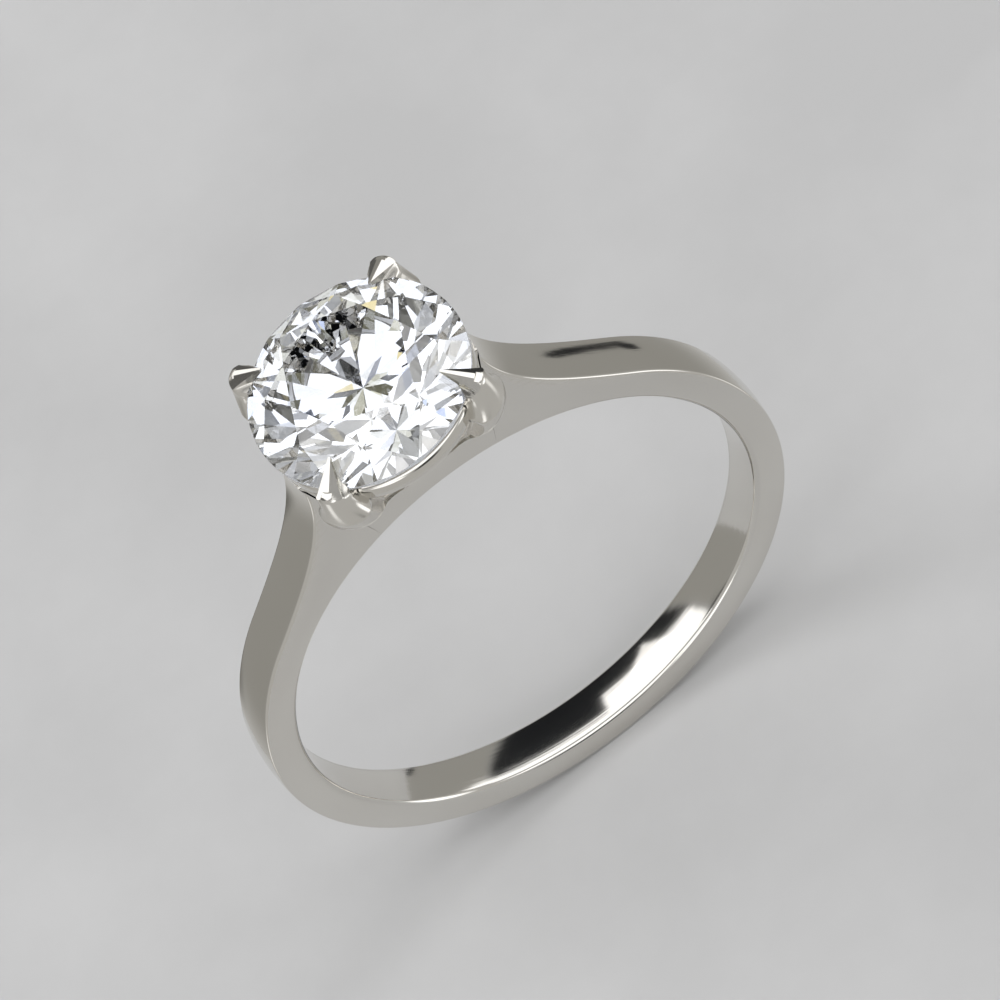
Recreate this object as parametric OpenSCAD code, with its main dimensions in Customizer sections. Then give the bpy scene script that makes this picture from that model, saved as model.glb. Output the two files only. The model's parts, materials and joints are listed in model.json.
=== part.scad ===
// Solitaire engagement ring: cathedral shank, four-claw tulip head and a round brilliant.
// Origin at the centre of the finger hole, +Y along the hole, +Z towards the stone, millimetres.

/* [Hoop] */
// Diameter of the finger hole
hole_d = 16.5; // [14:0.1:20]
// Metal thickness of the hoop
hoop_thickness = 1.22; // [1:0.01:1.5]
// Width of the hoop along the finger
hoop_width = 1.7; // [1.5:0.05:1.8]
// Bevel that eases the edges of the finger hole
hole_bevel = 0.12; // [0.05:0.01:0.2]

/* [Shoulders] */
// Angle from the top at which each shoulder leaves the hoop
shoulder_angle = 46; // [42:1:52]
// Distance from the middle of the ring to the top of each shoulder
shoulder_reach = 3.26; // [3.1:0.01:3.3]
// How far each shoulder follows the hoop before it sweeps up
sweep_low = 3.3; // [2.5:0.1:4]
// How long each shoulder stays upright below the stone
sweep_high = 2.2; // [1.5:0.1:2.5]

/* [Stone] */
// Diameter of the girdle
stone_d = 6.84; // [6.6:0.01:6.9]
// Height of the middle of the girdle above the centre of the hole
girdle_height = 13.63; // [13.55:0.01:13.8]
// Thickness of the girdle where the facets' points meet it
girdle_thickness = 0.2; // [0.15:0.01:0.25]
// Table width as a fraction of the girdle diameter
table_ratio = 0.57; // [0.53:0.01:0.6]
// Angle of the crown mains
crown_angle = 34.5; // [33:0.1:36]
// Angle of the pavilion mains
pavilion_angle = 40.75; // [40.2:0.05:41.4]
// Turn of the stone in its setting
stone_turn = 0; // [0:1:44]

/* [Head] */
// Distance from the stone's axis to the outside of a claw
claw_reach = 4.14; // [4.05:0.01:4.25]
// Radius of the bend at a claw's belly
claw_bend = 1.1; // [1:0.05:1.3]
// Width of a claw at its belly
claw_belly_width = 1.62; // [1.5:0.02:1.8]
// Width of a claw at its tip
claw_tip_width = 1.04; // [0.9:0.02:1.2]
// Width of a claw at its foot
claw_foot_width = 0.9; // [0.8:0.05:1]
// Height of the gallery rail
rail_height = 0.66; // [0.5:0.02:0.7]

/* [Hidden] */
$fn = 128;
eps = 0.01;
seat_gap = 0.015;

// Hoop
hole_r = hole_d / 2;
hoop_r = hole_r + hoop_thickness;
half_w = hoop_width / 2;

// Stone: sixteen girdle facets above and below, and eight of every other kind
stone_r = stone_d / 2;
girdle_top = girdle_height + girdle_thickness / 2;
girdle_bottom = girdle_height - girdle_thickness / 2;
table_r = stone_r * table_ratio;
table_z = girdle_top + (stone_r - table_r) * tan(crown_angle);
culet_z = girdle_bottom - stone_r * tan(pavilion_angle);
star_length = 0.5;
lower_half_length = 0.77;
table_edge_r = table_r * cos(22.5);
star_r = table_edge_r + star_length * (stone_r - table_edge_r);
star_z = girdle_top + (stone_r - star_r * cos(22.5)) * tan(crown_angle);
half_r = stone_r * (1 - lower_half_length);
half_z = girdle_bottom - (stone_r - half_r * cos(22.5)) * tan(pavilion_angle);
pavilion_rise = (girdle_bottom - half_z) / (stone_r - half_r);
girdle_steps = 4;
girdle_points = 16 * girdle_steps;

// Head: heights are measured from the girdle
rail_top = girdle_bottom - 0.26;
rail_bottom = rail_top - rail_height;
rail_r = stone_r - 0.1;
rail_inner_r = stone_r - 0.65;
foot_z = girdle_height - 3.73;
base_ring_h = 0.7;
base_ring_r = 1;
base_ring_hole_r = 0.5;
notch_floor = foot_z + 0.35;
notch_half_w = 1;
bend_z = girdle_height - 0.88;
bend_angle = 66;
foot_angle = 30;
foot_sweep = 0.8;
nose_r = stone_r - 0.57;
nose_z = girdle_height + 0.78;
ridge_drop = 18;
ridge_half_w = 0.04;
facet_tilt = 36;
facet_turn = 20;
claw_top = nose_z + 0.1;

// Radius of the stone's pavilion at height z, with a clearance
function pavilion_r(z, gap) = stone_r - (girdle_bottom - z) / pavilion_rise + gap;

// Points of an arc about the origin, by angle from the top
function arc_from_top(r, a1, a2, steps) =
    [for (i = [0 : steps]) let (a = a1 + (a2 - a1) * i / steps) [r * sin(a), r * cos(a)]];

// Points of a cubic curve from p to s
function cubic(p, q, r, s, steps) =
    [for (i = [0 : steps]) let (t = i / steps, u = 1 - t)
        u * u * u * p + 3 * u * u * t * q + 3 * u * t * t * r + t * t * t * s];

// Right shoulder's outer edge, from the hoop up to the underside of the rail
hoop_joint = hoop_r * [sin(shoulder_angle), cos(shoulder_angle)];
shoulder_top = [shoulder_reach, rail_bottom];
shoulder_edge = cubic(hoop_joint,
                      hoop_joint + sweep_low * [-cos(shoulder_angle), sin(shoulder_angle)],
                      shoulder_top - [0, sweep_high],
                      shoulder_top, 20);

// Side outline of the shank: the hoop's rim, then one shoulder after the other
module shank_outline() {
    right = arc_from_top(hoop_r, 180, shoulder_angle + 3, 44);
    right_side = concat(right, shoulder_edge);
    left_side = [for (i = [len(right_side) - 1 : -1 : 1]) [-right_side[i][0], right_side[i][1]]];
    polygon(concat(right_side, left_side));
}

// V-shaped opening between the shoulders, below the stone
module notch() {
    top_half_w = pavilion_r(rail_bottom, 0.1);
    rotate([90, 0, 0])
        linear_extrude(2 * hoop_width, center = true)
            polygon([[-notch_half_w, notch_floor], [notch_half_w, notch_floor],
                     [top_half_w, rail_bottom], [top_half_w, rail_bottom + 1],
                     [-top_half_w, rail_bottom + 1], [-top_half_w, rail_bottom]]);
}

// Finger hole with a bevel at each mouth
module finger_hole() {
    rotate([90, 0, 0])
        cylinder(r = hole_r, h = 2 * hoop_width, center = true);
    for (turn = [90, -90])
        rotate([turn, 0, 0])
            translate([0, 0, half_w - hole_bevel])
                cylinder(r1 = hole_r, r2 = hole_r + hole_bevel + eps, h = hole_bevel + eps);
}

module shank() {
    color("gainsboro")
        difference() {
            rotate([90, 0, 0])
                linear_extrude(hoop_width, center = true)
                    shank_outline();
            finger_hole();
            notch();
            base_ring_blank();
        }
}

module base_ring_blank() {
    translate([0, 0, foot_z])
        cylinder(r1 = base_ring_r, r2 = base_ring_r + base_ring_h, h = base_ring_h);
}

// Tapered ring at the foot of the head, let into the bridge
module base_ring() {
    color("silver")
        difference() {
            base_ring_blank();
            translate([0, 0, foot_z - eps])
                cylinder(r1 = base_ring_hole_r, r2 = base_ring_hole_r + base_ring_h,
                         h = base_ring_h + 2 * eps);
        }
}

// Rail under the girdle, whose sloping inner face follows the stone's pavilion
module gallery_rail() {
    bearing_z = rail_top - 0.32;
    ease = 0.05;
    color("silver")
        rotate_extrude()
            polygon([[rail_inner_r, rail_bottom], [rail_r - ease, rail_bottom],
                     [rail_r, rail_bottom + ease], [rail_r, rail_top - ease],
                     [rail_r - ease, rail_top], [pavilion_r(rail_top, seat_gap), rail_top],
                     [pavilion_r(bearing_z, seat_gap), bearing_z]]);
}

// Everything that the stone takes up, as one turned solid with a clearance
module stone_room() {
    rotate_extrude()
        polygon([[0, culet_z - 0.1], [pavilion_r(culet_z + 0.2, seat_gap), culet_z + 0.2],
                 [stone_r + seat_gap, girdle_bottom], [stone_r + seat_gap, girdle_top],
                 [star_r + seat_gap, star_z + seat_gap], [table_r, table_z + seat_gap],
                 [0, table_z + seat_gap]]);
}

// Outside line of a claw from its foot, round the belly and up the neck
bend_centre = [claw_reach - claw_bend, bend_z];
bend_start = bend_centre + claw_bend * [cos(bend_angle), -sin(bend_angle)];
foot = [base_ring_r + 0.62, foot_z];
claw_line = concat(
    cubic(foot, foot + foot_sweep * [sin(foot_angle), cos(foot_angle)],
          bend_start - foot_sweep * [sin(bend_angle), cos(bend_angle)], bend_start, 8),
    [for (a = [-bend_angle + 15 : 15 : -1]) bend_centre + claw_bend * [cos(a), sin(a)]],
    [for (z = [bend_z : 0.25 : claw_top]) [claw_reach, z]]);

// Inside of a claw at height z
function claw_in_r(z) =
    let (f = (z - foot_z) / (rail_bottom - foot_z), top_r = nose_r - 0.05)
    min(top_r, base_ring_r + (top_r - base_ring_r) * f);

// Width of a claw at height z
function claw_width(z) =
    let (up = (z - bend_z) / (girdle_height - bend_z),
         down = (bend_z - z) / (bend_z - foot_z))
    z > bend_z ? claw_belly_width + (claw_tip_width - claw_belly_width) * sin(90 * min(1, up)) :
    claw_belly_width + (claw_foot_width - claw_belly_width) * down * down;

// Thin rounded slice of a claw through a point of its outside line
module claw_slice(p) {
    in_r = claw_in_r(p[1]);
    w = claw_width(p[1]);
    nose = min(0.55, (p[0] - in_r) / 2);
    translate([0, 0, p[1]])
        linear_extrude(eps)
            hull() {
                translate([p[0] - nose, 0])
                    scale([nose, w / 2])
                        circle(1, $fn = 24);
                translate([in_r + nose, 0])
                    scale([nose, w / 2.3])
                        circle(1, $fn = 24);
            }
}

// Body of a claw, built up slice by slice from the foot to above the crown
module claw_body() {
    for (i = [0 : len(claw_line) - 2])
        hull() {
            claw_slice(claw_line[i]);
            claw_slice(claw_line[i + 1]);
        }
}

// Flat top and two side facets that bring the tip to a point over the stone
module tip_cuts() {
    translate([nose_r, 0, nose_z])
        rotate([0, ridge_drop, 0]) {
            translate([-1, -1, 0])
                cube([4, 2, 1]);
            for (side = [-1, 1])
                translate([0, side * ridge_half_w, 0])
                    rotate([0, 0, side * 6])
                        rotate([-side * facet_tilt, 0, 0])
                            translate([-1, side > 0 ? 0 : -2, 0])
                                cube([4, 2, 2]);
            for (side = [-1, 1])
                translate([0, side * ridge_half_w, 0])
                    rotate([0, 0, side * facet_turn])
                        translate([-2, side > 0 ? 0 : -2, -0.5])
                            cube([2.9, 2, 2]);
        }
}

// A claw at the given angle, cut to meet the shank, the rail, the base ring and the stone
module claw(angle) {
    color("silver")
        difference() {
            rotate([0, 0, angle])
                difference() {
                    claw_body();
                    tip_cuts();
                }
            cube([4 * stone_d, hoop_width, 2 * rail_bottom], center = true);
            base_ring_blank();
            translate([0, 0, rail_bottom])
                cylinder(r = rail_r, h = rail_height);
            stone_room();
        }
}

module claw_front_left() claw(225);
module claw_front_right() claw(315);
module claw_back_left() claw(135);
module claw_back_right() claw(45);

// Height that a girdle facet reaches at an angle from its main, above the girdle's own edge
function scallop(angle, inner_r, rise) =
    let (outer = [stone_r, 0, 0],
         chord = [stone_r * cos(22.5), stone_r * sin(22.5), 0] - outer,
         inner = [inner_r * cos(22.5), inner_r * sin(22.5), rise] - outer,
         n = cross(chord, inner),
         p = [stone_r * cos(angle), stone_r * sin(angle), 0] - outer)
    -(n[0] * p[0] + n[1] * p[1]) / n[2];

// Angle from the nearest main to girdle point i
function from_main(i) =
    let (a = (i * 360 / girdle_points) % 45)
    min(a, 45 - a);

function around(r, a, z) = [r * cos(a), r * sin(a), z];

module diamond() {
    n = girdle_points;
    side = 2 * girdle_steps;
    top = 0;
    bottom = n;
    table = 2 * n;
    star = table + 8;
    half = star + 8;
    culet = half + 8;
    step = 360 / n;
    points = concat(
        [for (i = [0 : n - 1])
            around(stone_r, i * step, girdle_top + scallop(from_main(i), star_r, star_z - girdle_top))],
        [for (i = [0 : n - 1])
            around(stone_r, i * step, girdle_bottom + scallop(from_main(i), half_r, half_z - girdle_bottom))],
        [for (k = [0 : 7]) around(table_r, 45 * k, table_z)],
        [for (k = [0 : 7]) around(star_r, 45 * k + 22.5, star_z)],
        [for (k = [0 : 7]) around(half_r, 45 * k + 22.5, half_z)],
        [[0, 0, culet_z]]);
    table_face = [for (k = [7 : -1 : 0]) table + k];
    crown = [for (k = [0 : 7]) let (next = (k + 1) % 8, before = (k + 7) % 8, g = k * side) each [
        [table + k, star + k, top + g, star + before],
        [table + k, table + next, star + k],
        concat([star + k], [for (j = [girdle_steps : -1 : 0]) top + g + j]),
        concat([star + k], [for (j = [side : -1 : girdle_steps]) top + (g + j) % n])]];
    pavilion = [for (k = [0 : 7]) let (before = (k + 7) % 8, g = k * side) each [
        [culet, half + before, bottom + g, half + k],
        concat([half + k], [for (j = [0 : girdle_steps]) bottom + g + j]),
        concat([half + k], [for (j = [girdle_steps : side]) bottom + (g + j) % n])]];
    girdle = [for (i = [0 : n - 1]) let (next = (i + 1) % n)
        [top + i, top + next, bottom + next, bottom + i]];
    color("white", 0.6)
        rotate([0, 0, stone_turn])
            polyhedron(points, concat([table_face], crown, pavilion, girdle));
}

shank();
gallery_rail();
base_ring();
claw_front_left();
claw_front_right();
claw_back_left();
claw_back_right();
diamond();
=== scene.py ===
import json
import math

import bmesh
import bpy
import numpy
from mathutils import Matrix, Vector


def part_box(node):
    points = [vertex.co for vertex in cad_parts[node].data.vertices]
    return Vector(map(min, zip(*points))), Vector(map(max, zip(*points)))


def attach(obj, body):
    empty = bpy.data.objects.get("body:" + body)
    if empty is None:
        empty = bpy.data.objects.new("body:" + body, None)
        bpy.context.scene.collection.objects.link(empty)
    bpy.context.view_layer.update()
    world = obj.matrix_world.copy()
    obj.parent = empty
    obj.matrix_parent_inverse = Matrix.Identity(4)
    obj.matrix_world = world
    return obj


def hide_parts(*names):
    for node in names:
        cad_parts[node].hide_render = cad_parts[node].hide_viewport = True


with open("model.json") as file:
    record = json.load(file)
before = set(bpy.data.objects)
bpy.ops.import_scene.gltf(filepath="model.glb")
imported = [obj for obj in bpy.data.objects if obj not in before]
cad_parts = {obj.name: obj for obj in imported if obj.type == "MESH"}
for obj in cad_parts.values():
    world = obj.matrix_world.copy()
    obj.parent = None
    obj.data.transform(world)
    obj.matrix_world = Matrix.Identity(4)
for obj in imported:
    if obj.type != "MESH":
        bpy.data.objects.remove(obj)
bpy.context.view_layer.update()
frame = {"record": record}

# ---------------------------------------------------------------------------------------------
# Shank: one platinum band with its two cathedral shoulders, which sweep up to carry the head.
# It is forged and filed flat at the sides, slightly domed outside and court shaped inside,
# with a V-shaped opening below the stone, and polished along the band.
# ---------------------------------------------------------------------------------------------
mm = 0.001
touching = 1e-7
merge_gap = 1e-6
shank_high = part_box("shank")[1]
hoop_r = shank_high.x
half_w = shank_high.y
rail_under = shank_high.z
hole_r = frame["record"]["mounts"][0]["dims"]["r_mm"] * mm
outside_dome = 0.08 * mm
court_dome = 0.06 * mm
mouth_round = 0.2 * mm
edge_round = 0.065 * mm
shoulder_angle = math.radians(46)
shoulder_reach = 3.26 * mm
sweep_low = 3.3 * mm
sweep_high = 2.2 * mm
notch_floor = 10.25 * mm
notch_half_w = 1 * mm
notch_top_half_w = 2.475 * mm
band_steps = 720
sweep_steps = 160
hoop_steps = 400
bore_points = 13
outside_points = 17
snap = 0.51
PLATINUM = (0.70, 0.68, 0.638, 1)


class Tone:
    """A socket in a finish's shader, on which sums add the shader's own nodes."""

    def __init__(self, tree, socket=None):
        self.tree = tree
        self.socket = socket

    def node(self, kind, settings=None, inputs=None, output=0):
        made = self.tree.nodes.new(kind)
        for name, setting in (settings or {}).items():
            if name == "stops":
                ramp = made.color_ramp
                while len(ramp.elements) < len(setting):
                    ramp.elements.new(0.5)
                for element, (place, colour) in zip(ramp.elements, setting):
                    element.position = place
                    element.color = colour
            else:
                setattr(made, name, setting)
        for name, value in (inputs or {}).items():
            if isinstance(value, Tone):
                self.tree.links.new(value.socket, made.inputs[name])
            else:
                made.inputs[name].default_value = value
        return Tone(self.tree, made.outputs[output] if made.outputs else None)

    def math(self, operation, first, second=0.0):
        return self.node("ShaderNodeMath", {"operation": operation}, {0: first, 1: second})

    def __add__(self, other):
        return self.math("ADD", self, other)

    def __radd__(self, other):
        return self.math("ADD", other, self)

    def __sub__(self, other):
        return self.math("SUBTRACT", self, other)

    def __rsub__(self, other):
        return self.math("SUBTRACT", other, self)

    def __mul__(self, other):
        return self.math("MULTIPLY", self, other)

    def __rmul__(self, other):
        return self.math("MULTIPLY", other, self)

def start_finish(name):
    finish = bpy.data.materials.new(name)
    finish.use_nodes = True
    finish.node_tree.nodes.clear()
    return finish, Tone(finish.node_tree)


def polish_platinum(name, buffed_along, mark_depth, haze):
    """Polished platinum whose buffing marks run round the given axis, or any way for None."""
    finish, base = start_finish(name)
    place = base.node("ShaderNodeTexCoord", output=3)
    split = base.node("ShaderNodeSeparateXYZ", None, {0: place})
    x = split
    y = Tone(base.tree, split.socket.node.outputs[1])
    z = Tone(base.tree, split.socket.node.outputs[2])
    long_marks = 180.0
    fine_marks = 9000.0
    if buffed_along == "Y":
        squared = x * x + z * z
        out = base.math("SQRT", squared)
        lines = base.node("ShaderNodeCombineXYZ", None,
                          {0: x * long_marks, 1: y * fine_marks, 2: z * long_marks})
    elif buffed_along == "Z":
        squared = x * x + y * y
        out = base.math("SQRT", squared)
        lines = base.node("ShaderNodeCombineXYZ", None,
                          {0: x * long_marks, 1: y * long_marks, 2: z * fine_marks})
    else:
        out = x * 0.2
        lines = base.node("ShaderNodeVectorMath", {"operation": "SCALE"},
                          {0: place, "Scale": 2400.0})
    marks = base.node("ShaderNodeTexNoise", {"noise_dimensions": "4D"},
                      {"Vector": lines, "W": out * fine_marks, "Scale": 1.0, "Detail": 3.0,
                       "Roughness": 0.6})
    smears = base.node("ShaderNodeTexNoise", None,
                       {"Vector": place, "Scale": 420.0, "Detail": 4.0, "Roughness": 0.55})
    patches = base.node("ShaderNodeTexNoise", None,
                        {"Vector": place, "Scale": 130.0, "Detail": 2.0})
    tint = base.node("ShaderNodeValToRGB",
                     {"stops": [(0.25, (0.665, 0.64, 0.595, 1)), (0.5, PLATINUM),
                                (0.8, (0.735, 0.72, 0.685, 1))]}, {0: patches})
    rough = haze + smears * 0.05 + marks * 0.05
    relief = base.node("ShaderNodeBump", None,
                       {"Height": marks * 0.5 + smears * 0.8, "Strength": mark_depth,
                        "Distance": 0.00004})
    metal = base.node("ShaderNodeBsdfPrincipled", None,
                      {"Base Color": tint, "Roughness": rough, "Metallic": 1.0,
                       "Normal": relief})
    base.node("ShaderNodeOutputMaterial", None, {"Surface": metal})
    return finish


def hand_over(bm, name, finishes, node, sharp_angle=35):
    """Makes the finished mesh an object that stands for its CAD node."""
    bmesh.ops.recalc_face_normals(bm, faces=bm.faces)
    for face in bm.faces:
        face.smooth = True
    for edge in bm.edges:
        edge.smooth = edge.calc_face_angle(0) < math.radians(sharp_angle)
    mesh = bpy.data.meshes.new(name)
    bm.to_mesh(mesh)
    bm.free()
    piece = bpy.data.objects.new(name, mesh)
    bpy.context.scene.collection.objects.link(piece)
    for finish in finishes:
        mesh.materials.append(finish)
    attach(piece, "root")
    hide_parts(node)
    return piece


def even_shading(piece):
    """Keeps flat faces flat beside their rounded edges."""
    weighted = piece.modifiers.new("even_shading", "WEIGHTED_NORMAL")
    weighted.keep_sharp = True
    weighted.weight = 60


def round_edges(bm, edges, width, segments):
    bmesh.ops.bevel(bm, geom=edges, offset=width, offset_type="OFFSET", segments=segments,
                    profile=0.5, affect="EDGES", clamp_overlap=False, material=-1)


def cubic(start, lead, follow, end, steps):
    points = []
    for step in range(steps + 1):
        t = step / steps
        u = 1 - t
        points.append(u ** 3 * start + 3 * u * u * t * lead + 3 * u * t * t * follow
                      + t ** 3 * end)
    return points


# Right half of the side outline, from the middle of the opening round to the foot of the hoop
hoop_joint = hoop_r * Vector((math.sin(shoulder_angle), math.cos(shoulder_angle)))
shoulder_top = Vector((shoulder_reach, rail_under))
shoulder_edge = cubic(hoop_joint,
                      hoop_joint + sweep_low * Vector((-math.cos(shoulder_angle),
                                                       math.sin(shoulder_angle))),
                      shoulder_top - Vector((0, sweep_high)), shoulder_top, sweep_steps)
corners = [Vector((0, notch_floor)), Vector((notch_half_w, notch_floor)),
           Vector((notch_top_half_w, rail_under)), shoulder_top]
hoop_edge = [hoop_r * Vector((math.sin(turn), math.cos(turn)))
             for turn in numpy.linspace(shoulder_angle, math.pi, hoop_steps)]
outline = corners + shoulder_edge[-2:0:-1] + hoop_edge
outline_turns = [math.atan2(point.x, point.y) for point in outline]
outline_facings = []
for i, point in enumerate(outline):
    along = outline[min(i + 1, len(outline) - 1)] - outline[max(i - 1, 0)]
    outline_facings.append(Vector((-along.y, along.x)).normalized())
outline_facings[0] = Vector((0, 1))
outline_facings[-1] = Vector((0, -1))
corner_turns = [math.atan2(point.x, point.y) for point in corners[1:]]

bm = bmesh.new()
section = [bm.verts.new((0, y, hole_r + court_dome * (y / half_w) ** 2))
           for y in numpy.linspace(-half_w, half_w, bore_points)]
section += [bm.verts.new((0, y, hoop_r - outside_dome * (y / half_w) ** 2))
            for y in numpy.linspace(half_w, -half_w, outside_points)]
for i, vert in enumerate(section):
    bm.edges.new((vert, section[(i + 1) % len(section)]))
bmesh.ops.spin(bm, geom=bm.verts[:] + bm.edges[:], cent=(0, 0, 0), axis=(0, 1, 0),
               angle=math.tau, steps=band_steps, use_merge=True)
mid_r = (hole_r + hoop_r) / 2


def rim(inner):
    """Edges of the band's two rims, at the finger hole or outside."""
    found = []
    for edge in bm.edges:
        if all(abs(abs(v.co.y) - half_w) < touching
               and (math.hypot(v.co.x, v.co.z) < mid_r) == inner for v in edge.verts):
            found.append(edge)
    return found


round_edges(bm, rim(True), mouth_round, 5)
round_edges(bm, rim(False), edge_round, 4)
stations = {}
for step in range(band_steps // 2 + 1):
    turn = step * math.tau / band_steps
    for corner in corner_turns:
        if abs(turn - corner) < snap * math.tau / band_steps:
            turn = corner
    stations[step] = [numpy.interp(turn, outline_turns, values) for values in (
        [point.x for point in outline], [point.y for point in outline],
        [facing.x for facing in outline_facings], [facing.y for facing in outline_facings])]
for vert in bm.verts:
    depth = hoop_r - math.hypot(vert.co.x, vert.co.z)
    if depth > hoop_r - mid_r:
        continue
    turn = math.atan2(vert.co.x, vert.co.z)
    across, up, face_across, face_up = stations[round(abs(turn) * band_steps / math.tau)]
    vert.co.x = math.copysign(across - depth * face_across, turn)
    vert.co.z = up - depth * face_up

shank = hand_over(bm, "shank_band", [polish_platinum("platinum_band", "Y", 0.10, 0.055)],
                  "shank")
even_shading(shank)

# ---------------------------------------------------------------------------------------------
# Base ring and gallery rail: two platinum rings turned to fit the stone's pavilion. The tapered
# base ring is let into the bridge of the shank, and the rail sits on the ends of the shoulders
# and is soldered between the claws. Both are polished with their corners eased.
# ---------------------------------------------------------------------------------------------
ring_steps = 256
base_low, base_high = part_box("base_ring")
base_wall = 0.5 * mm
base_ease = 0.08 * mm
rail_low_ease = 0.16 * mm
rail_top_ease = 0.22 * mm
base_foot_r = base_high.x - (base_high.z - base_low.z)
rail_low, rail_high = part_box("gallery_rail")
stone_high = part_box("diamond")[1]
stone_r = stone_high.x
girdle_height = 13.63 * mm
girdle_half = 0.1 * mm
girdle_top = girdle_height + girdle_half
girdle_bottom = girdle_height - girdle_half
pavilion_rise = 0.8813
seat_gap = 0.015 * mm
bearing_drop = 0.32 * mm
rail_inner_r = 2.77 * mm


def pavilion_r(z, gap):
    """Radius of the stone below its girdle, with a clearance."""
    return stone_r - (girdle_bottom - z) / pavilion_rise + gap


def turn_ring(profile, eased, name, node, finish):
    """A ring turned from its profile of (radius, height), with some corners eased."""
    bm = bmesh.new()
    loop = [bm.verts.new((r, 0, z)) for r, z in profile]
    for i, vert in enumerate(loop):
        bm.edges.new((vert, loop[(i + 1) % len(loop)]))
    bmesh.ops.spin(bm, geom=bm.verts[:] + bm.edges[:], cent=(0, 0, 0), axis=(0, 0, 1),
                   angle=math.tau, steps=ring_steps, use_merge=True)
    for corner, width in eased:
        r, z = profile[corner]
        edges = [edge for edge in bm.edges
                 if all(abs(v.co.z - z) < touching
                        and abs(math.hypot(v.co.x, v.co.y) - r) < merge_gap
                        for v in edge.verts)]
        round_edges(bm, edges, width, 8)
    ring = hand_over(bm, name, [finish], node)
    even_shading(ring)


platinum_turned = polish_platinum("platinum_turned", "Z", 0.10, 0.055)
turn_ring([(base_foot_r, base_low.z), (base_high.x, base_high.z),
           (base_high.x - base_wall, base_high.z), (base_foot_r - base_wall, base_low.z)],
          [(1, base_ease), (2, base_ease)], "base_ring_taper", "base_ring", platinum_turned)
turn_ring([(rail_inner_r, rail_low.z), (rail_high.x, rail_low.z),
           (rail_high.x, rail_high.z), (pavilion_r(rail_high.z, seat_gap), rail_high.z),
           (pavilion_r(rail_high.z - bearing_drop, seat_gap), rail_high.z - bearing_drop)],
          [(1, rail_low_ease), (2, rail_top_ease)], "gallery_rail_ring", "gallery_rail",
          platinum_turned)

# ---------------------------------------------------------------------------------------------
# Claws: four platinum claws, thick rounded knuckles beside the rail and necks over the girdle.
# Each is soldered to the side of the shank and to the rail, bent over the crown, and its tip
# is filed to a point with a narrow ridge between two flat facets.
# ---------------------------------------------------------------------------------------------
claw_reach = 4.14 * mm
claw_bend = 1.1 * mm
bend_z = 12.75 * mm
bend_angle = math.radians(66)
claw_belly_w = 1.62 * mm
claw_tip_w = 1.04 * mm
claw_foot_w = 0.9 * mm
foot_angle = math.radians(30)
foot_sweep = 0.8 * mm
foot_out = 0.62 * mm
nose_r = 2.85 * mm
nose_z = 14.41 * mm
nose_spare = 0.05 * mm
claw_top = nose_z + 0.1 * mm
ridge_drop = math.radians(18)
ridge_half_w = 0.04 * mm
facet_tilt = math.radians(36)
facet_splay = math.radians(2.5)
tip_taper = math.tan(math.radians(20))
taper_start = 13.6 * mm
taper_full = 13.95 * mm
neck_lean = 0.3 * mm
tip_round = 0.2 * mm
round_start = 13.86 * mm
slice_points = 56
leg_steps = 26
bend_steps = 30
neck_steps = 60
outer_round = 0.55 * mm
inner_narrow = 1.15
star_r = 2.610 * mm
star_z = 14.423 * mm
table_r = 1.949 * mm

bend_centre = Vector((claw_reach - claw_bend, bend_z))
bend_start = bend_centre + claw_bend * Vector((math.cos(bend_angle), -math.sin(bend_angle)))
claw_foot = Vector((base_foot_r + foot_out, base_low.z))
claw_line = cubic(claw_foot,
                  claw_foot + foot_sweep * Vector((math.sin(foot_angle), math.cos(foot_angle))),
                  bend_start - foot_sweep * Vector((math.sin(bend_angle), math.cos(bend_angle))),
                  bend_start, leg_steps)
claw_line += [bend_centre + claw_bend * Vector((math.cos(turn), math.sin(turn)))
              for turn in numpy.linspace(-bend_angle, 0, bend_steps)[1:]]
hair = 0.002 * mm
neck_heights = {claw_top, girdle_bottom, girdle_top}
neck_heights |= {rail_high.z - hair, rail_high.z + hair}
neck_heights |= set(numpy.linspace(bend_z, claw_top, neck_steps)[1:])
claw_line += [Vector((claw_reach, z)) for z in sorted(neck_heights)]
for level in (rail_low.z - hair, rail_low.z + hair):
    above = next(i for i, point in enumerate(claw_line) if point.y > level)
    low, high = claw_line[above - 1], claw_line[above]
    claw_line.insert(above, low.lerp(high, (level - low.y) / (high.y - low.y)))


def claw_inside(z):
    """How near the stone's axis a claw comes at a height, before it is fitted."""
    nearest = nose_r - nose_spare
    return numpy.interp(z, [base_low.z, base_high.z, rail_low.z],
                        [base_foot_r, base_high.x + hair, nearest])


def claw_half_width(z):
    if z > bend_z:
        up = min(1, (z - bend_z) / (girdle_height - bend_z))
        return (claw_belly_w + (claw_tip_w - claw_belly_w) * math.sin(math.pi / 2 * up)) / 2
    down = (bend_z - z) / (bend_z - base_low.z)
    return (claw_belly_w + (claw_foot_w - claw_belly_w) * down * down) / 2


def room_r(z):
    """Radius that the rail or the stone takes up at a height."""
    if z < rail_low.z:
        return 0
    if z < rail_high.z:
        return rail_high.x
    if z < girdle_bottom:
        return pavilion_r(z, seat_gap)
    return numpy.interp(z, [girdle_top, star_z + seat_gap, stone_high.z + seat_gap],
                        [stone_r + seat_gap, star_r + seat_gap, table_r])


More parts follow.
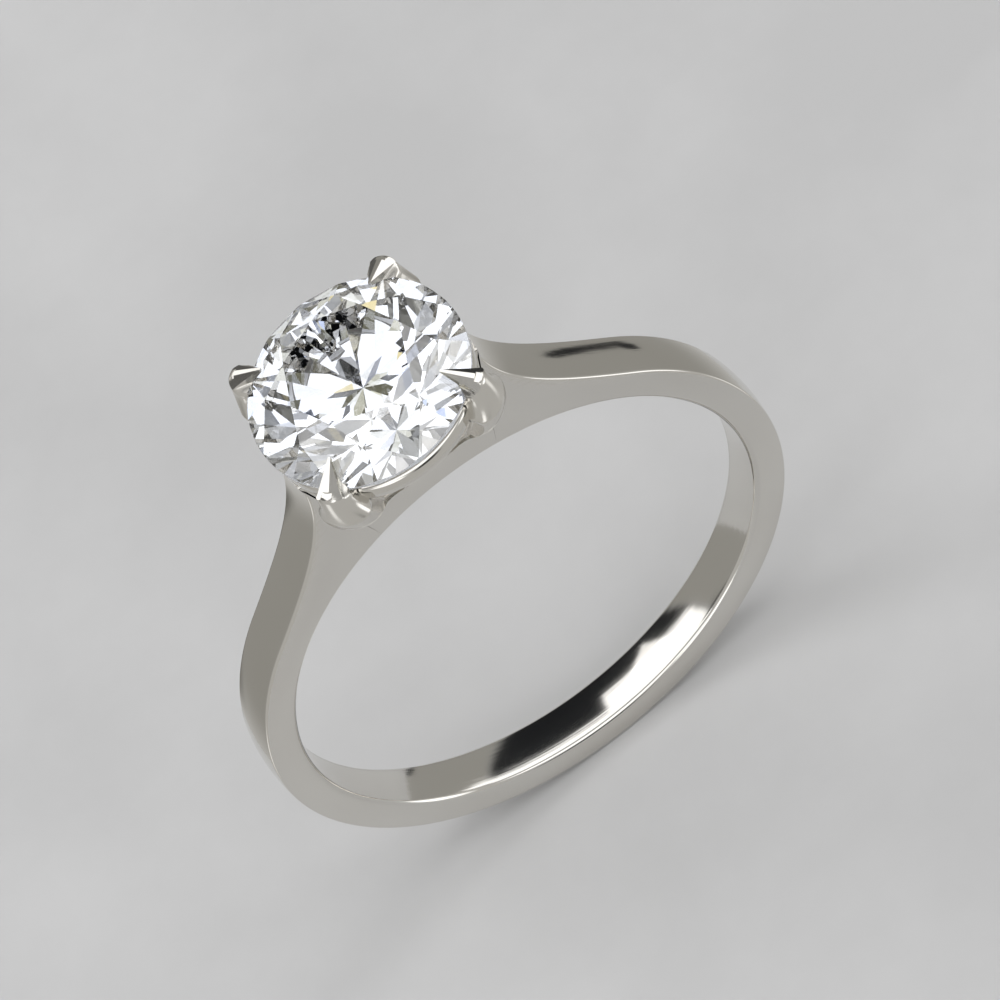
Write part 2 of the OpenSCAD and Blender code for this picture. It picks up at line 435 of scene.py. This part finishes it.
def shape_slice(verts, out_r, z):
    """Sets one loop of a claw: rounded outside, hollowed inside where it grips."""
    if z > bend_z:
        out_r -= neck_lean * ((z - bend_z) / (claw_top - bend_z)) ** 2
    if z > round_start:
        over = min(tip_round, z - round_start)
        out_r -= tip_round - math.sqrt(tip_round ** 2 - over ** 2)
    in_r = claw_inside(z)
    half = claw_half_width(z)
    nose = min(outer_round, (out_r - in_r) / 2)
    room = room_r(z)
    taper = min(1, max(0, (z - taper_start) / (taper_full - taper_start)))
    taper = taper * taper * (3 - 2 * taper)
    for i, vert in enumerate(verts):
        turn = math.tau * i / slice_points
        if math.cos(turn) >= 0:
            x = out_r - nose + nose * math.cos(turn)
            y = half * math.sin(turn)
        else:
            x = in_r + nose + nose * math.cos(turn)
            y = half / inner_narrow * math.sin(turn)
        if x * x + y * y < room * room:
            x = math.sqrt(room * room - y * y)
        wedge = max(ridge_half_w, ridge_half_w + (x - nose_r) * tip_taper)
        limit = half + (wedge - half) * taper
        vert.co = (x, max(-limit, min(limit, y)), z)


def file_flat(bm, place, facing):
    """Files away everything on one side of a plane and closes the flat that it leaves."""
    cut = bmesh.ops.bisect_plane(bm, geom=bm.verts[:] + bm.edges[:] + bm.faces[:],
                                 dist=touching / 10, plane_co=place, plane_no=facing,
                                 clear_outer=True)
    rim_edges = [part for part in cut["geom_cut"] if isinstance(part, bmesh.types.BMEdge)]
    bmesh.ops.holes_fill(bm, edges=rim_edges, sides=0)


def make_claw(name, node, angle, finish):
    bm = bmesh.new()
    bmesh.ops.create_circle(bm, cap_ends=True, segments=slice_points, radius=half_w)
    bm.verts.ensure_lookup_table()
    loop = bm.verts[:]
    shape_slice(loop, claw_line[0].x, claw_line[0].y)
    edges = bm.edges[:]
    for point in claw_line[1:]:
        grown = bmesh.ops.extrude_edge_only(bm, edges=edges)["geom"]
        fresh = set(part for part in grown if isinstance(part, bmesh.types.BMVert))
        loop = [next(edge.other_vert(vert) for edge in vert.link_edges
                     if edge.other_vert(vert) in fresh) for vert in loop]
        edges = [part for part in grown if isinstance(part, bmesh.types.BMEdge)
                 and all(vert in fresh for vert in part.verts)]
        shape_slice(loop, point.x, point.y)
    bmesh.ops.holes_fill(bm, edges=edges, sides=0)
    drop = Matrix.Rotation(ridge_drop, 3, "Y")
    nose = Vector((nose_r, 0, nose_z))
    file_flat(bm, nose, drop @ Vector((0, 0, 1)))
    for side in (-1, 1):
        lean = (drop @ Matrix.Rotation(side * facet_splay, 3, "Z")
                @ Matrix.Rotation(-side * facet_tilt, 3, "X"))
        file_flat(bm, nose + drop @ Vector((0, side * ridge_half_w, 0)),
                  lean @ Vector((0, 0, 1)))
    bmesh.ops.rotate(bm, verts=bm.verts, cent=(0, 0, 0),
                     matrix=Matrix.Rotation(math.radians(angle), 3, "Z"))
    side = math.copysign(1, math.sin(math.radians(angle)))
    for vert in bm.verts:
        if vert.co.z < rail_low.z and side * vert.co.y < half_w:
            vert.co.y = side * half_w
    bmesh.ops.dissolve_degenerate(bm, dist=touching, edges=bm.edges)
    claw = hand_over(bm, name, [finish], node, sharp_angle=28)
    even_shading(claw)


platinum_filed = polish_platinum("platinum_filed", None, 0.22, 0.13)
make_claw("claw_front_left_tip", "claw_front_left", 225, platinum_filed)
make_claw("claw_front_right_tip", "claw_front_right", 315, platinum_filed)
make_claw("claw_back_left_tip", "claw_back_left", 135, platinum_filed)
make_claw("claw_back_right_tip", "claw_back_right", 45, platinum_filed)

# ---------------------------------------------------------------------------------------------
# Diamond: a round brilliant of 57 facets, ground and polished from one crystal. The facets are
# cut one by one in its own cutting order, and the girdle is left ground, a little frosted.
# It is held by the claws over the rail's bearing.
# ---------------------------------------------------------------------------------------------
girdle_sides = 192
rough_height = 8 * mm
pavilion_slope = math.tan(math.radians(40.75))
culet_z = girdle_bottom - stone_r * pavilion_slope
half_length = 0.77
half_length_r = stone_r * (1 - half_length)
eighth = math.radians(45)
half_z = girdle_bottom - (stone_r - half_length_r * math.cos(eighth / 2)) * pavilion_slope


def around(r, turn, z):
    return Vector((r * math.cos(turn), r * math.sin(turn), z))


def cut_facet(bm, first, second, third):
    """Cuts the facet that passes through three points and faces away from the stone."""
    facing = (second - first).cross(third - first).normalized()
    if facing.dot(first - Vector((0, 0, girdle_height))) < 0:
        facing.negate()
    file_flat(bm, first, facing)


bm = bmesh.new()
bmesh.ops.create_cone(bm, cap_ends=True, segments=girdle_sides, radius1=stone_r,
                      radius2=stone_r, depth=rough_height,
                      matrix=Matrix.Translation((0, 0, girdle_height)))
table_z = stone_high.z
cut_facet(bm, around(table_r, 0, table_z), around(table_r, 2, table_z),
          around(table_r, 4, table_z))
for k in range(8):
    turn = k * eighth
    main_edge = around(stone_r, turn, girdle_top)
    side_edge = Vector((-math.sin(turn), math.cos(turn), 0)) * mm
    cut_facet(bm, main_edge, main_edge + side_edge, around(table_r, turn, table_z))
    main_edge = around(stone_r, turn, girdle_bottom)
    cut_facet(bm, main_edge, main_edge + side_edge, Vector((0, 0, culet_z)))
for k in range(8):
    turn = k * eighth
    mid = turn + eighth / 2
    star = around(star_r, mid, star_z)
    cut_facet(bm, around(table_r, turn, table_z), around(table_r, turn + eighth, table_z), star)
    half = around(half_length_r, mid, half_z)
    for edge in (turn, turn + eighth):
        cut_facet(bm, star, around(stone_r, edge, girdle_top), around(stone_r, mid, girdle_top))
        cut_facet(bm, half, around(stone_r, edge, girdle_bottom),
                  around(stone_r, mid, girdle_bottom))
bmesh.ops.remove_doubles(bm, verts=bm.verts, dist=merge_gap)
bmesh.ops.dissolve_limit(bm, angle_limit=math.radians(0.2), verts=bm.verts, edges=bm.edges)
for face in bm.faces:
    face.material_index = 1 if abs(face.normal.z) < 0.1 else 0

brilliant, base = start_finish("diamond_polished")
place = base.node("ShaderNodeTexCoord", output=3)
drift = base.node("ShaderNodeTexNoise", None,
                  {"Vector": place, "Scale": 700.0, "Detail": 1.0, "Roughness": 0.4})
body = base.node("ShaderNodeValToRGB",
                 {"stops": [(0.3, (0.955, 0.965, 1.0, 1)), (0.5, (0.985, 0.985, 0.985, 1)),
                            (0.72, (0.99, 0.975, 0.92, 1))]}, {0: drift})
wheel_lines = base.node("ShaderNodeTexNoise", None,
                        {"Vector": place, "Scale": 9000.0, "Detail": 2.0})
fire = base.node("ShaderNodeBsdfPrincipled", None,
                 {"Base Color": body, "Roughness": wheel_lines * 0.008, "IOR": 2.417,
                  "Transmission Weight": 1.0})
base.node("ShaderNodeOutputMaterial", None, {"Surface": fire})

frosted, base = start_finish("diamond_ground")
place = base.node("ShaderNodeTexCoord", output=3)
grit = base.node("ShaderNodeTexNoise", None,
                 {"Vector": place, "Scale": 26000.0, "Detail": 3.0, "Roughness": 0.7})
pits = base.node("ShaderNodeBump", None, {"Height": grit, "Strength": 0.4,
                                          "Distance": 0.00001})
ground = base.node("ShaderNodeBsdfPrincipled", None,
                   {"Base Color": (0.96, 0.96, 0.95, 1), "Roughness": 0.25 + grit * 0.3,
                    "IOR": 2.417, "Transmission Weight": 1.0, "Normal": pits})
base.node("ShaderNodeOutputMaterial", None, {"Surface": ground})
hand_over(bm, "brilliant", [brilliant, frosted], "diamond", sharp_angle=1.95)

# ---------------------------------------------------------------------------------------------
# Setting for the view: a plain pale floor that the hoop rests on, a soft overhead panel and
# darker studio walls that only the polished metal and the stone pick up, and the camera.
# ---------------------------------------------------------------------------------------------
floor_size = 0.7
floor_finish, base = start_finish("pale_floor")
place = base.node("ShaderNodeTexCoord", output=3)
mottle = base.node("ShaderNodeTexNoise", None,
                   {"Vector": place, "Scale": 60.0, "Detail": 5.0, "Roughness": 0.6})
plaster = base.node("ShaderNodeValToRGB",
                    {"stops": [(0.35, (0.49, 0.49, 0.49, 1)), (0.65, (0.55, 0.55, 0.55, 1))]},
                    {0: mottle})
matt = base.node("ShaderNodeBsdfPrincipled", None, {"Base Color": plaster, "Roughness": 0.9})
base.node("ShaderNodeOutputMaterial", None, {"Surface": matt})
floor_gap = 0.01 * mm
floor_z = -hoop_r - floor_gap
near_floor_r = 0.018


def lay_floor(name, inner_r, outer_r, mirrored):
    """A flat ring or disc of floor, which polished metal mirrors or not."""
    bm = bmesh.new()
    bmesh.ops.create_circle(bm, cap_ends=not inner_r, segments=96, radius=outer_r,
                            matrix=Matrix.Translation((0, 0, floor_z)))
    if inner_r:
        bmesh.ops.create_circle(bm, segments=96, radius=inner_r,
                                matrix=Matrix.Translation((0, 0, floor_z)))
        bmesh.ops.bridge_loops(bm, edges=bm.edges[:])
    mesh = bpy.data.meshes.new(name)
    bm.to_mesh(mesh)
    bm.free()
    mesh.materials.append(floor_finish)
    floor = bpy.data.objects.new(name, mesh)
    bpy.context.scene.collection.objects.link(floor)
    floor.visible_glossy = mirrored


lay_floor("floor_near", 0, near_floor_r, True)
lay_floor("floor_far", near_floor_r, floor_size, False)

world = bpy.data.worlds.new("studio")
bpy.context.scene.world = world
world.use_nodes = True
world.node_tree.nodes.clear()
base = Tone(world.node_tree)
outlook = base.node("ShaderNodeSeparateXYZ", None,
                    {0: base.node("ShaderNodeTexCoord", output=0)})
right = outlook
back = Tone(base.tree, outlook.socket.node.outputs[1])
up = Tone(base.tree, outlook.socket.node.outputs[2])


def past(value, start, end):
    """Rises smoothly from 0 to 1 between two limits."""
    return base.node("ShaderNodeMapRange", {"interpolation_type": "SMOOTHSTEP"},
                     {"Value": value, "From Min": start, "From Max": end})


def lit(below, above, share):
    """One light colour giving way to another."""
    return base.node("ShaderNodeMix", {"data_type": "RGBA"},
                     {0: share, 6: below, 7: above}, output=2)


def patch(middle, inner, outer):
    """A round soft-edged area of the studio about a direction."""
    apart = base.node("ShaderNodeVectorMath", {"operation": "DISTANCE"},
                      {0: base.node("ShaderNodeTexCoord", output=0), 1: middle}, output=1)
    return 1 - past(apart, inner, outer)


WHITE = (1.7, 1.7, 1.71, 1)
PALE = (1.15, 1.15, 1.14, 1)
DUSK = (0.17, 0.168, 0.155, 1)
GREY = (0.11, 0.108, 0.106, 1)
CHARCOAL = (0.05, 0.05, 0.048, 1)
BLACK = (0.015, 0.016, 0.018, 1)
through_stone = base.node("ShaderNodeLightPath", output="Is Transmission Ray")
wall = lit((0.55, 0.545, 0.53, 1), (0.36, 0.355, 0.335, 1),
           past(up, -0.85, -0.45) * past(back, -0.05, 0.4))
sky = lit(wall, (0.36, 0.36, 0.355, 1), past(up, 0.40, 0.46))
panel_back_edge = 0.36 + 0.17 * (1 - past(right, -0.01, 0.03))
overhead = past(up, 0.46, 0.50) * (1 - past(back - panel_back_edge, -0.01, 0.02))
overhead = overhead * past(back, -0.42, -0.34)
front_panel = past(-1.0 * back, 0.60, 0.68) * past(up, 0.30, 0.38) * (1 - past(up, 0.78, 0.84))
sky = lit(sky, WHITE, overhead)
sky = lit(sky, WHITE, front_panel)
gloom = past(up, 0.42, 0.50) * past(back - panel_back_edge, -0.01, 0.02)
shade = lit(BLACK, (0.44, 0.43, 0.37, 1), through_stone)
sky = lit(sky, shade, gloom)
for tone, middle, inner, outer in (
        (GREY, (0.02, 0.96, -0.28), 0.22, 0.32),
        (GREY, (-0.90, 0.08, 0.42), 0.24, 0.32),
        (DUSK, (-0.38, 0.76, -0.53), 0.12, 0.26),
        (BLACK, (0.55, 0.83, -0.06), 0.13, 0.17),
        (BLACK, (0.749, 0.629, -0.19), 0.055, 0.07),
        (WHITE, (-0.54, 0.84, -0.03), 0.13, 0.17),
        (WHITE, (-0.28, 0.86, 0.42), 0.11, 0.16),
        (WHITE, (0.89, 0.11, 0.43), 0.24, 0.30),
        (WHITE, (0.85, -0.50, -0.08), 0.22, 0.34),
        (WHITE, (-0.50, -0.83, 0.06), 0.20, 0.30),
        (CHARCOAL, (0.08, -0.98, -0.03), 0.18, 0.30),
        (PALE, (-0.74, -0.20, -0.64), 0.08, 0.24),
        (PALE, (0.78, -0.20, -0.60), 0.08, 0.24)):
    sky = lit(sky, tone, patch(middle, inner, outer))
# The stone spreads light into colours: blue, straw, grey, and the dark of the viewer's own shadow
cast = lit((0.93, 0.97, 1.06, 1), (0.45, 0.45, 0.375, 1), past(back, -0.15, 0.5))
for tint, middle, inner, outer in (
        ((0.50, 0.58, 0.80, 1), (-0.35, -0.45, 0.82), 0.14, 0.18),
        ((0.75, 0.66, 0.38, 1), (0.45, 0.25, 0.86), 0.10, 0.14),
        ((0.34, 0.34, 0.33, 1), (0.45, -0.60, 0.66), 0.20, 0.24),
        ((0.02, 0.02, 0.022, 1), (-0.016, -0.558, 0.83), 0.19, 0.22)):
    cast = lit(cast, tint, patch(middle, inner, outer))
sky = base.node("ShaderNodeMix", {"data_type": "RGBA", "blend_type": "MULTIPLY"},
                {0: through_stone, 6: sky, 7: cast}, output=2)
glow = base.node("ShaderNodeBackground", None, {"Color": sky, "Strength": 1.0})
base.node("ShaderNodeOutputWorld", None, {"Surface": glow})

key = bpy.data.lights.new("key_panel", "AREA")
key.size = 0.09
key.energy = 0.035
key_lamp = bpy.data.objects.new("key_panel", key)
bpy.context.scene.collection.objects.link(key_lamp)
key_from = Vector((-0.11, 0.12, 0.20))
key_lamp.location = key_from
key_lamp.rotation_euler = key_from.to_track_quat("Z", "Y").to_euler()

azimuth = math.radians(-1.674)
elevation = math.radians(56.057)
roll = math.radians(-36.767)
aim = Vector((1.2155, 0, 4.4499)) * mm
camera_distance = 0.14
backward = Vector((math.sin(azimuth) * math.cos(elevation),
                   -math.cos(azimuth) * math.cos(elevation), math.sin(elevation)))
level_right = Vector((math.cos(azimuth), math.sin(azimuth), 0))
level_up = backward.cross(level_right)
camera_x = level_right * math.cos(roll) + level_up * math.sin(roll)
camera_y = level_up * math.cos(roll) - level_right * math.sin(roll)
lens = bpy.data.cameras.new("camera")
lens.lens = 166.873
lens.sensor_width = 36
lens.clip_start = 0.01
lens.clip_end = 10
camera = bpy.data.objects.new("camera", lens)
bpy.context.scene.collection.objects.link(camera)
camera.matrix_world = Matrix.Translation(aim + backward * camera_distance) @ Matrix(
    (camera_x, camera_y, backward)).transposed().to_4x4()
bpy.context.scene.camera = camera
bpy.context.scene.view_settings.view_transform = "Standard"
bpy.context.scene.cycles.max_bounces = 24
bpy.context.scene.cycles.glossy_bounces = 16
bpy.context.scene.cycles.transmission_bounces = 24
